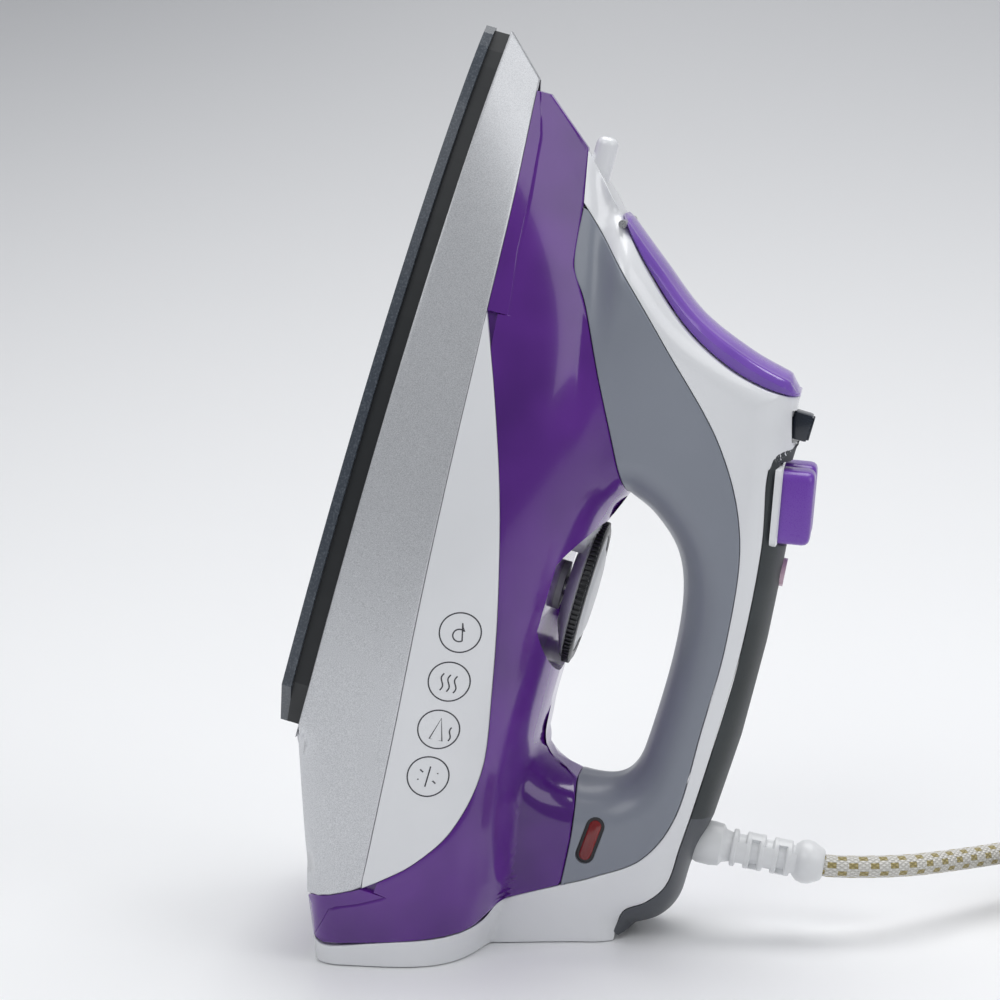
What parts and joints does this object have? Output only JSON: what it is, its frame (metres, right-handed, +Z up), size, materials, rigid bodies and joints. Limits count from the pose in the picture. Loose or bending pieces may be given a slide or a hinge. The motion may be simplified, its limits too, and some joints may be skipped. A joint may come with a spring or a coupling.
{
  "type": "steam iron",
  "caption": "Steam iron standing on its heel: coated soleplate, translucent tank, moulded handle with buttons, dial and filling lid, and a braided mains lead with a plug.",
  "frame": {"origin": "on the table under the heel, at the middle of the iron's own box without its lead", "axes": "+Z up from the heel it stands on, towards the soleplate's tip; +X from the soleplate's face towards the handle; +Y across the iron"},
  "size_m": [0.374, 0.129, 0.2865],
  "materials": {
    "sole_coating": "satin",
    "cast_aluminium": "as cast",
    "steel": "bright",
    "seal_rubber": "matt",
    "black_plastic": "matt",
    "silver_paint": "metallic paint",
    "panel_white": "gloss",
    "tank_violet": "translucent",
    "frame_grey": "satin",
    "gloss_white": "gloss",
    "grip_rubber": "soft matt",
    "cover_grey": "satin",
    "hose_silicone": "clear",
    "inner_plastic": "natural",
    "lid_lilac": "translucent",
    "lever_navy": "gloss",
    "brass": "bright",
    "button_violet": "satin",
    "ceramic": "matt",
    "lens_red": "clear red",
    "lamp_glass": "clear",
    "relief_white": "satin",
    "wire_silicone": "matt",
    "badge_pink": "satin",
    "cord_braid": "braided, white with fine ochre checks"
  },
  "bodies": {
    "root": {"soleplate": "sole_coating", "heater_base": "cast_aluminium", "heating_element": "steel", "steam_chamber_cover": "cast_aluminium", "valve_grommet": "seal_rubber", "heat_shield": "black_plastic", "skirt": "silver_paint", "side_panel_left": "panel_white", "side_panel_right": "panel_white", "water_tank": "tank_violet", "tank_floor": "tank_violet", "handle_frame": "frame_grey", "handle_cover": "gloss_white", "soft_grip": "grip_rubber", "heel_cover": "gloss_white", "rear_cover": "cover_grey", "spray_nozzle": "gloss_white", "spray_hose": "hose_silicone", "fill_inlet": "inner_plastic", "lid_hinge_pin": "steel", "lever_bracket": "cover_grey", "valve_seat": "inner_plastic", "pump_block": "inner_plastic", "spray_spring": "steel", "burst_spring": "steel", "dial_bush": "inner_plastic", "dial_pointer": "gloss_white", "thermostat": "ceramic", "thermal_fuse": "brass", "pilot_lenses": "lens_red", "neon_lamp": "lamp_glass", "swivel_yoke": "cover_grey", "cord_clamp": "cover_grey", "terminal_block": "ceramic", "wiring": "wire_silicone", "cover_screws": "steel", "grip_badge": "badge_pink", "mains_cord": "cord_braid", "cord_coil": "cord_braid", "cord_tail": "cord_braid", "coil_tie": "black_plastic", "plug": "relief_white", "plug_pins": "brass"},
    "lid": {"fill_lid": "lid_lilac", "lid_seal": "seal_rubber"},
    "lever": {"steam_lever": "lever_navy"},
    "valve": {"valve_rod": "brass"},
    "spray": {"spray_button": "button_violet", "spray_plunger": "inner_plastic"},
    "burst": {"burst_button": "button_violet", "burst_plunger": "inner_plastic"},
    "dial": {"dial_rim": "black_plastic", "dial_body": "gloss_white", "dial_shaft": "steel"},
    "swivel": {"strain_relief": "relief_white"}
  },
  "joints": [
    {"name": "lid_open", "type": "hinge", "parent": "root", "child": "lid", "pos_m": [0.02139, 0, 0.22649], "axis": [0, -1, 0], "range_deg": [0, 75]},
    {"name": "lever_swing", "type": "hinge", "parent": "root", "child": "lever", "pos_m": [0.05295, 0, 0.17042], "axis": [0.2672, 0, 0.9636], "range_deg": [-12, 12]},
    {"name": "valve_lift", "type": "slide", "parent": "root", "child": "valve", "axis": [0.9636, 0, -0.2672], "range_m": [-0.00119, 0.00119]},
    {"name": "spray_press", "type": "slide", "parent": "root", "child": "spray", "axis": [-0.9973, 0, 0.0732], "range_m": [0, 0.003], "stiffness_N_per_m": 300, "springref_m": -0.002, "deforming": ["spray_spring"]},
    {"name": "burst_press", "type": "slide", "parent": "root", "child": "burst", "axis": [-0.9973, 0, 0.0732], "range_m": [0, 0.003], "stiffness_N_per_m": 300, "springref_m": -0.002, "deforming": ["burst_spring"]},
    {"name": "dial_turn", "type": "hinge", "parent": "root", "child": "dial", "pos_m": [0.00617, 0, 0.11023], "axis": [0.9636, 0, -0.2672], "range_deg": [0, 270]},
    {"name": "cord_swivel", "type": "hinge", "parent": "root", "child": "swivel", "pos_m": [0.03412, 0, 0.03139], "axis": [0, 1, 0], "range_deg": [-12, 12]}
  ],
  "couplings": [
    {"joint": "lever_swing", "follows": "valve_lift", "rad_per_m": 175}
  ]
}
